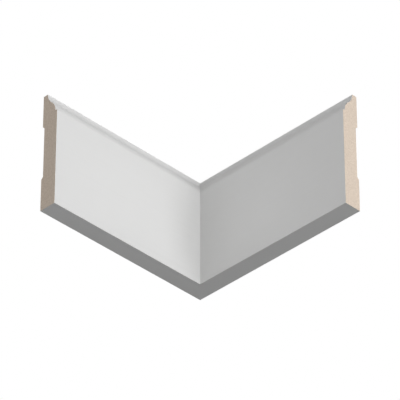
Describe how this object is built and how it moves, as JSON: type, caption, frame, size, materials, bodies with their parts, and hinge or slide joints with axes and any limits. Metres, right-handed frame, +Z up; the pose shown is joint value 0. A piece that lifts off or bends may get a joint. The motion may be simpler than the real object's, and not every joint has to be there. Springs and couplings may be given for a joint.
{
  "type": "skirting board",
  "caption": "White-primed fibreboard skirting for a room's inside corner: mitred lengths with square outer ends, an ogee top above a narrow step and a shallow relief along the back.",
  "frame": {"origin": "the corner where both walls meet the floor: the back bottom end of the mitre", "axes": "+Z up; the room lies towards +X and -Y; the right board runs along +X against the wall plane Y = 0, the left board along -Y against the wall plane X = 0"},
  "size_m": [0.174, 0.174, 0.11],
  "materials": {
    "primed_fibreboard": "smooth matt white primer on the front, top and underside; bare fine-fibred tan board on the cut ends and the back"
  },
  "bodies": {
    "root": {"left_board": "primed_fibreboard", "right_board": "primed_fibreboard"}
  },
  "joints": []
}
